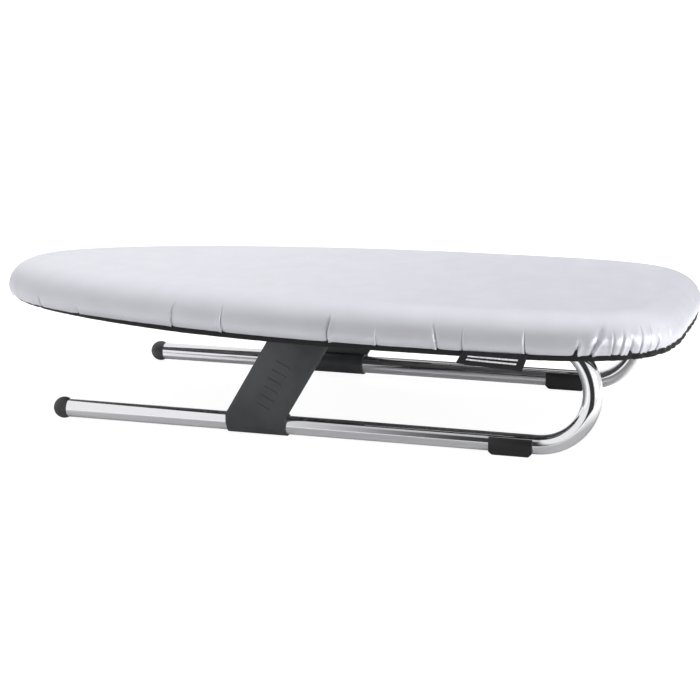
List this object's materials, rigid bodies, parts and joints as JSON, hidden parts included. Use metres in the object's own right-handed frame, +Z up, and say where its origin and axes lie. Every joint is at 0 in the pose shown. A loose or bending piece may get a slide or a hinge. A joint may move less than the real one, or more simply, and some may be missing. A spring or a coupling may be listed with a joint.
{
  "type": "table-top ironing board",
  "caption": "Small padded ironing board with a rounded nose, standing on bent chrome tube legs that fold inward under the board.",
  "frame": {"origin": "on the table under the middle of the board's length and width", "axes": "+X from the pointed nose to the square tail, +Z up, +Y to the side away from the woven label"},
  "size_m": [0.75, 0.32, 0.1422],
  "materials": {
    "silver_cover": "metallised silver cotton, satin",
    "pad_felt": "needled felt",
    "hem_tape": "black woven tape, gathered",
    "woven_label": "woven black label with plain pale bars",
    "elastic": "braided white elastic",
    "panel_enamel": "light grey enamel",
    "saddle_plastic": "moulded, fine grain",
    "screw_steel": "zinc plated",
    "stop_plastic": "moulded",
    "tube_chrome": "polished chrome plate",
    "ball_rubber": "dark grey, matt",
    "plug_plastic": "moulded",
    "brace_plastic": "dark grey, fine grain",
    "foot_plastic": "black, satin"
  },
  "bodies": {
    "board": {"support_panel": "panel_enamel", "rim_band": "panel_enamel", "pad": "pad_felt", "cover": "silver_cover", "binding": "hem_tape", "hem_elastic": "elastic", "label_tag": "woven_label", "cross_rail_front": "panel_enamel", "cross_rail_rear": "panel_enamel", "leg_stop_left": "stop_plastic", "leg_stop_right": "stop_plastic", "saddle_front_left": "saddle_plastic", "saddle_screw_front_left_1": "screw_steel", "saddle_screw_front_left_2": "screw_steel", "saddle_front_right": "saddle_plastic", "saddle_screw_front_right_1": "screw_steel", "saddle_screw_front_right_2": "screw_steel", "saddle_rear_left": "saddle_plastic", "saddle_screw_rear_left_1": "screw_steel", "saddle_screw_rear_left_2": "screw_steel", "saddle_rear_right": "saddle_plastic", "saddle_screw_rear_right_1": "screw_steel", "saddle_screw_rear_right_2": "screw_steel"},
    "leg_left": {"leg_tube_left": "tube_chrome", "ball_cap_left": "ball_rubber", "end_plug_left": "plug_plastic", "brace_left": "brace_plastic", "foot_clip_left": "foot_plastic"},
    "leg_right": {"leg_tube_right": "tube_chrome", "ball_cap_right": "ball_rubber", "end_plug_right": "plug_plastic", "brace_right": "brace_plastic", "foot_clip_right": "foot_plastic"}
  },
  "joints": [
    {"name": "leg_left_fold", "type": "hinge", "parent": "board", "child": "leg_left", "pos_m": [0, -0.1255, 0.1202], "axis": [1, 0, 0], "range_deg": [0, 85]},
    {"name": "leg_right_fold", "type": "hinge", "parent": "board", "child": "leg_right", "pos_m": [0, 0.1255, 0.1202], "axis": [-1, 0, 0], "range_deg": [0, 85]}
  ]
}
